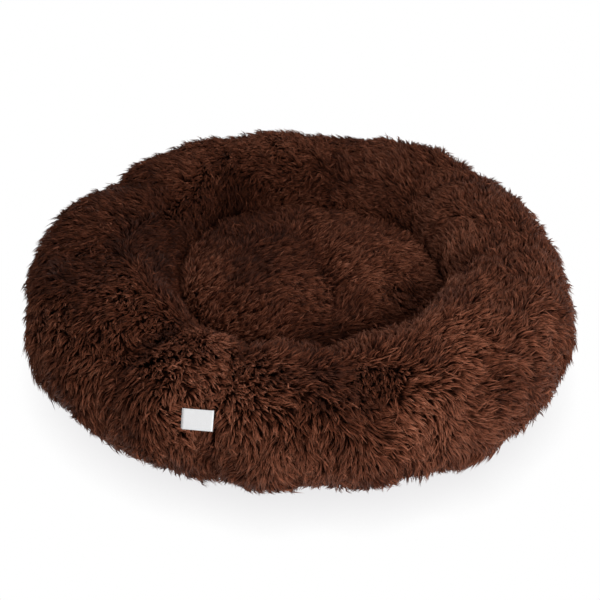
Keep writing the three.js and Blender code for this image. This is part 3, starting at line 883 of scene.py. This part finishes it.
# Degrees all round the bed, and shares from the pad's middle to its side
all_round = steps(0, 360, 4)[:-1, None]
pad_shares = np.sin(np.radians(steps(1, 90, 8)))[None, :]


def add_pad_cover(cloth, pile):
    outer = pad_backing(all_round, pad_shares)
    inner = pad_surface(all_round, pad_shares[:, ::-1], pad_backing_side + 0.002,
                        pile_inset + backing_depth)
    cover = add_piece("centre_cover", loft(np.concatenate([outer, inner], 1), True),
                      cloth, replaces="centre_panel")
    rng = np.random.default_rng(22)
    quarters = ("rear_right", "rear_left", "front_left", "front_right")
    names = [f"centre_pile_{quarter}" for quarter in quarters]
    add_pile(names, 0, *pad_locks(rng), rng, pile)


# The bags of white cloth and their fibre

def add_cores(cloth, fibre):
    for half, start, end in (("upper", -20, 202), ("lower", 202.3, 339.7)):
        arounds = steps(start, end, 6)
        outer = ring_surface(all_round, arounds[None, :], liner_inset)
        inner = ring_surface(
            all_round, arounds[None, ::-1], liner_inset + liner_cloth, cover_level + liner_cloth)
        bag = add_piece(f"ring_bag_{half}", loft(np.concatenate([outer, inner], 1), True),
                        cloth, replaces=f"ring_liner_{half}")
    arounds = steps(-20, 334, 6)
    floor = cover_level + liner_cloth + layer_gap
    outlines = ring_surface(all_round, arounds[None, :], fill_inset, floor)
    fill = add_piece("ring_fibre", loft(outlines, True), fibre,
                     replaces="ring_fill")


def add_pad_core(cloth, fibre):
    under = np.array([[1, 0.97, 0.94, 0.9, 0.85, 0.8, 0.5, 0.02]])
    thick = liner_cloth
    upper = np.concatenate([
        pad_surface(all_round, pad_shares, pad_side, liner_inset),
        pad_surface(all_round, pad_shares[:, ::-1], pad_side + thick, liner_inset + thick)], 1)
    seam = pad_seam - 0.0003
    lower = np.concatenate([
        pad_under(all_round, under, pad_side, pad_floor, seam),
        pad_under(all_round, under[:, ::-1], pad_side + thick, pad_floor + thick, seam)], 1)
    side = pad_side + thick + layer_gap
    fill = np.concatenate([
        pad_surface(all_round, pad_shares, side, fill_inset),
        pad_under(all_round, under[:, 1:], side, pad_floor + thick + layer_gap, pad_seam)], 1)
    for name, outlines, look, slot, node in (
            ("centre_bag_upper", upper, cloth, "liner_cloth", "centre_liner_upper"),
            ("centre_bag_lower", lower, cloth, "liner_cloth", "centre_liner_lower"),
            ("centre_fibre", fill, fibre, "fibre_fill", "centre_fill")):
        piece = add_piece(name, loft(outlines, True), look, replaces=node)


# The base

down = np.array([0, 0, -1.0])
halves = (("front", -1), ("rear", 1))


def grid(x, y):
    """Places at every x, one row each, and every y."""
    return np.broadcast_arrays(x[:, None], y[None, :])


def unevenness(x, y):
    """A slow unevenness of cloth that lies flat, about 1 each way."""
    return cloth_waves.value(points_at(x, y, 0))


def base_underside(x, y):
    raised = smooth_step((step_outer - np.hypot(x, y)) / (step_outer - step_inner))
    return grip_height + (base_rise - grip_height + 0.0003 * unevenness(x, y)) * raised


def to_the_plush(x, y):
    """Draws the rim of the base cloth out to the lower edge of the plush."""
    radius = np.hypot(x, y)
    edge = ring_surface(np.degrees(np.arctan2(y, x)), tube_start, pile_inset + 0.002)
    wanted = np.maximum(np.hypot(edge[..., 0], edge[..., 1]), base_radius)
    flat_part = smooth_step((radius - step_outer) / (base_radius - step_outer))
    scale = 1 + (wanted / base_radius - 1) * flat_part
    return x * scale, y * scale


def add_grips(side, name, look, pitch=0.0073):
    """Grip dots in staggered rows: low domes of three rings, sunk a little into the cloth."""
    rows = int(base_radius / pitch)
    places = []
    for row in range(rows):
        shift = pitch / 2 * (row % 2)
        for column in range(-rows - 1, rows + 1):
            places.append((column * pitch * 1.05 + shift, side * (row + 0.5) * pitch))
    x, y = np.array(places).T
    kept = (np.hypot(x, y) < base_radius - 0.008) & (np.abs(y) > window_half + hem_width + 0.002)
    x, y = x[kept], y[kept]
    low = base_underside(x, y)
    points = []
    for radius, drop in ((0.0010, -0.0002), (0.0009, 0.0002), (0.0005, grip_height)):
        for corner in range(6):
            turn = corner * math.pi / 3
            points.append(points_at(
                x + radius * math.cos(turn), y + radius * math.sin(turn), low - drop))
    mesh, _ = repeated_mesh(np.stack(points, 1), [face[::-1] for face in ring_faces(3, 6)])
    return add_piece(name, mesh, look)


def add_stitches(name, rows, out, look, radius=0.00028):
    """Stitches of thread from point to point of each row, with sunk ends."""
    starts = np.concatenate([row[:-1] for row in rows])
    ahead = np.concatenate([row[1:] for row in rows]) - starts
    side = unit(np.cross(ahead, out))
    points = []
    for share, width, sunk in ((0.06, 0.4, 0.9), (0.22, 0.95, 0.2), (0.5, 1.1, 0.0),
                               (0.78, 0.95, 0.2), (0.94, 0.4, 0.9)):
        middle = starts + ahead * share - out * radius * sunk
        for corner in range(6):
            turn = corner * math.pi / 3
            points.append(middle + (side * math.cos(turn) + out * math.sin(turn)) * radius * width)
    mesh, _ = repeated_mesh(np.stack(points, 1), ring_faces(5, 6))
    return add_piece(name, mesh, look)


def stitch_row(end, y, z, pitch=0.0034):
    """The points of a row of stitches along X."""
    return points_at(np.linspace(-end, end, int(2 * end / pitch) + 1), y, z)


def add_hem(side, name, cloth):
    """The folded edge of the base cloth beside the zip."""
    across = np.array([0, 0.02, 0.06, 0.12, 0.3, 0.5, 0.7, 0.9, 0.97, 1.0])
    thick = np.array([0.12, 0.45, 0.75, 1, 1, 1, 1, 1, 0.85, 0.5])
    lengthwise = steps(-window_end, window_end, 0.004)
    x, y = grid(lengthwise, side * (window_half + hem_width * across))
    middle = (hem_low + hem_high) / 2 + 0.0001 * unevenness(x, y)
    half = (hem_high - hem_low) / 2 * thick
    return add_piece(name, slab(x, y, middle - half, middle + half), cloth)


def add_base(cloth, grips, thread):
    edges = np.array([-1, 1]) * window_end
    rows = np.concatenate([
        base_radius * np.sin(np.radians(steps(-88, 88, 1.6))), edges - 0.0002, edges + 0.0002])
    rows = np.sort(rows)
    near = np.where(np.abs(rows) < window_end, window_half + 0.002, 0.0002)[:, None]
    far = np.sqrt(base_radius ** 2 - rows ** 2)[:, None]
    share = np.linspace(0, 1, 40)[None, :]
    for half, side in halves:
        x = rows[:, None] + 0 * share
        y = side * (near + (far - near) * share)
        low = base_underside(x, y)
        x, y = to_the_plush(x, y)
        piece = add_piece(f"base_cloth_{half}", slab(x, y, low, low + base_cloth), cloth,
                          replaces=f"base_panel_{half}")
        dots = add_grips(side, f"base_grips_{half}", grips)
        hem = add_hem(side, f"base_hem_{half}", cloth)
        seams = [stitch_row(window_end, side * (window_half + off), hem_low - 0.0001)
                 for off in (hem_seam, hem_width - hem_seam)]
        seam = add_stitches(f"base_stitches_{half}", seams, down, thread)


# The zip

def coil_spread(x):
    """How far the slider's post holds a coil off the middle."""
    meet = slider_rest + 0.0009
    apart = slider_rest - 0.0025
    return nose_spread * (1 - smooth_step((x - apart) / (meet - apart)))


def add_coils(nylon, thread):
    turns = int(2 * zip_end / coil_pitch) - 1
    for half, side in halves:
        turn = steps(0, turns, 0.1)
        x = -zip_end + coil_pitch * (turn + (0.75 if side < 0 else 0.25))
        angle = 2 * math.pi * turn
        y = side * (coil_middle - coil_reach * np.cos(angle) + coil_spread(x))
        z = coil_height + coil_rise * np.sin(angle)
        coil = tube(points_at(x, y, z), coil_wire, 6, np.array([1.0, 0, 0]))
        add_piece(f"coil_{half}", coil, nylon, replaces=f"zip_coil_{half}")
        at = steps(-zip_end + coil_pitch, zip_end - coil_pitch, coil_pitch)
        off = side * (coil_seam + coil_spread(at))
        row = points_at(at, off, coil_seam_level)
        add_stitches(f"coil_stitches_{half}", [row], down, thread, thin_thread)


def add_tapes(weave, thread):
    end = zip_end + tape_tail
    for half, side in halves:
        x, y = grid(steps(-end, end, 0.004), side * steps(tape_near, tape_far, 0.0015))
        lift = 0.00004 * unevenness(x, y)
        piece = add_piece(f"tape_{half}", slab(x, y, tape_low + lift, tape_high + lift), weave,
                          replaces=f"zip_tape_{half}")
        row = stitch_row(zip_end, side * tape_seam, tape_low - 0.0001, 0.003)
        seam = add_stitches(f"tape_stitches_{half}", [row], down, thread)


def add_tacks(thread):
    """Bar tacks: thread laid to and fro across the two hems."""
    for place, side in (("left", -1), ("right", 1)):
        turns = 64
        y = np.linspace(-tack_half, tack_half, turns)
        x = side * (zip_end + np.where(np.arange(turns) % 2 == 0, 0.0006, 0.0027))
        tack = tube(points_at(x, y, tack_level), tack_thread, 6, np.array([0, 0, 1.0]))
        add_piece(f"tack_{place}", tack, thread, replaces=f"bar_tack_{place}")


def add_zip_metal(enamel):
    """The slider and the pull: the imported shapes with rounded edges."""
    parts = (("zip_slider", "slider_body", "slider"), ("zip_pull", "pull_tab", "pull"))
    for node, name, body in parts:
        work = bmesh.new()
        work.from_mesh(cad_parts[node].data)
        bmesh.ops.remove_doubles(work, verts=work.verts, dist=1e-6)
        bmesh.ops.dissolve_limit(
            work, angle_limit=math.radians(2), verts=work.verts, edges=work.edges)
        sharp = [edge for edge in work.edges if len(edge.link_faces) == 2
                 and edge.calc_face_angle() > math.radians(35)]
        bmesh.ops.bevel(work, geom=sharp, offset=metal_bevel, segments=2, profile=0.5,
                        affect="EDGES", clamp_overlap=True)
        mesh = taken_from(work, bpy.data.meshes.new("mesh"))
        add_piece(name, mesh, enamel, body, replaces=node)


# The label

def add_label(satin, thread):
    middle, along, up, out = label_place()
    half = label_width / 2
    tape = label_tape
    bend = np.radians(steps(270, 90, 20))
    fold = (label_fold - tape) / 2
    flat = np.linspace(half, -half + fold, 14)
    lower = np.stack([flat, np.full_like(flat, tape / 2)], -1)
    curve = np.stack([-half + fold + fold * np.cos(bend), label_fold / 2 - fold * np.sin(bend)], -1)
    upper = np.stack([flat[::-1], np.full_like(flat, label_fold - tape / 2)], -1)
    line = np.concatenate([lower, curve[1:-1], upper])
    ahead = unit(np.gradient(line, axis=0))
    across = np.stack([-ahead[:, 1], ahead[:, 0]], -1)
    section = np.concatenate([line + across * tape / 2, (line - across * tape / 2)[::-1]])
    rows = np.linspace(-label_height / 2, label_height / 2, 13)
    outlines = []
    for v in rows:
        curl = label_curl * ((section[:, 0] - half) / label_width) ** 2 * (1 + v / label_height)
        lift = np.outer(section[:, 1] + curl, out)
        outlines.append(middle + np.outer(section[:, 0], along) + lift + up * v)
    piece = add_piece("satin_label", loft(np.array(outlines)), satin,
                      replaces="label")
    v = steps(-label_height / 2 + 0.001, label_height / 2 - 0.001, label_stitch)
    row = middle + along * (half - label_seam) + np.outer(v, up) + out * (label_fold + 0.0001)
    seam = add_stitches("label_stitches", [row], out, thread, thin_thread)


# Camera, lights and floor

camera_elevation = 37.7
camera_distance = 1.4
focal_px = 905
middle_px = (298, 329)
frame_px = 600
world_strength = 0.42
floor_reach = 4.0
floor_level = -0.0004
shadow_reach = 0.06


def add_camera():
    data = bpy.data.cameras.new("camera")
    data.sensor_width = 36
    data.lens = 36 * focal_px / frame_px
    data.shift_x = (frame_px / 2 - middle_px[0]) / frame_px
    data.shift_y = (middle_px[1] - frame_px / 2) / frame_px
    camera = add_object("camera", data)
    rise = math.radians(camera_elevation)
    camera.location = Vector((0, -math.cos(rise), math.sin(rise))) * camera_distance
    camera.rotation_euler = (math.pi / 2 - rise, 0, 0)
    scene.camera = camera


def add_lamp(name, place, target, size, power):
    data = bpy.data.lights.new(name, "AREA")
    data.shape = "DISK"
    data.size = size
    data.energy = power
    lamp = add_object(name, data)
    lamp.location = place
    lamp.rotation_euler = (Vector(target) - Vector(place)).to_track_quat("-Z", "Y").to_euler()


def camera_ray_switch(tree, seen, unseen, output):
    """One shader for camera, glossy and transmission rays, another for the rest."""
    path = add_node(tree, "ShaderNodeLightPath")
    total = path.outputs["Is Camera Ray"]
    for ray in ("Is Glossy Ray", "Is Transmission Ray"):
        total = larger_of(tree, total, path.outputs[ray])
    mix = add_node(tree, "ShaderNodeMixShader", Fac=total)
    tree.links.new(unseen.outputs[0], mix.inputs[1])
    tree.links.new(seen.outputs[0], mix.inputs[2])
    put(tree.nodes[output], Surface=mix.outputs["Shader"])


def add_world():
    world = bpy.data.worlds.new("studio")
    world.use_nodes = True
    scene.world = world
    tree = world.node_tree
    soft = tree.nodes["Background"]
    put(soft, Color=(1, 1, 1, 1), Strength=world_strength)
    white = add_node(tree, "ShaderNodeBackground", Color=(1, 1, 1, 1))
    camera_ray_switch(tree, white, soft, "World Output")


def add_floor():
    """A white floor, shaded only close to the bed."""
    corners = np.array([[x * floor_reach, y * floor_reach, floor_level]
                        for x, y in ((-1, -1), (1, -1), (1, 1), (-1, 1))])
    floor = add_object("floor", mesh_from(corners, [(0, 1, 2, 3)], False))
    made, tree, shader = material("floor", 1, 0)
    tree.nodes.remove(shader)
    lit = add_node(tree, "ShaderNodeBsdfDiffuse", Color=(0.75, 0.75, 0.75, 1))
    near = add_node(tree, "ShaderNodeAmbientOcclusion", Distance=shadow_reach)
    near.samples = 4
    shadow = ramp(tree, near.outputs["AO"], [(0.0, (0.78, 0.77, 0.78, 1)), (1.0, (1, 1, 1, 1))])
    glow = add_node(tree, "ShaderNodeEmission", Color=shadow)
    camera_ray_switch(tree, glow, lit, "Material Output")
    floor.data.materials.append(made)


add_camera()
add_world()
add_floor()
add_lamp("key", place=(0.6, -1.1, 0.7), target=(0.1, -0.05, 0.05), size=0.5, power=14)
add_lamp("top", place=(0.3, 0.9, 1.8), target=(0.05, 0, 0.05), size=1.0, power=8)
scene.view_settings.view_transform = "Standard"

pile = pile_material()
backing = cloth_material("plush_backing", (28, 13, 8), (48, 24, 15), 400, 0.9, 0)
liner = cloth_material("liner_cloth", (196, 192, 184), (226, 223, 216), 900)
fibre = cloth_material("fibre_fill", (222, 220, 215), (244, 243, 240), 160, 0.95, 0.1, (1, 1, 3))
base_look = cloth_material("non_slip_cloth", (26, 25, 24), (46, 44, 42), 1500, 0.88, 0.25)
grips = gloss_material("grip_dots", (52, 50, 48), (70, 68, 66), 0.28)
weave = woven_material("zip_tape", (14, 14, 14), (40, 39, 38), 0.0008, 0.85, 0.2)
nylon = gloss_material("zip_nylon", (18, 18, 18), (36, 36, 36), 0.35)
black_thread = cloth_material("black_thread", (16, 16, 16), (44, 43, 42), 3000, 0.7, 0.3)
white_thread = cloth_material("white_thread", (205, 204, 200), (238, 237, 234), 3000, 0.6, 0.3)
enamel = enamel_material()
satin = woven_material("label_satin", (206, 206, 206), (228, 228, 229), 0.0005, 0.42, 0.35, 0.2)

add_ring_cover(backing, pile)
add_pad_cover(backing, pile)
add_cores(liner, fibre)
add_pad_core(liner, fibre)
add_base(base_look, grips, black_thread)
add_tapes(weave, black_thread)
add_coils(nylon, black_thread)
add_tacks(black_thread)
add_zip_metal(enamel)
add_label(satin, white_thread)
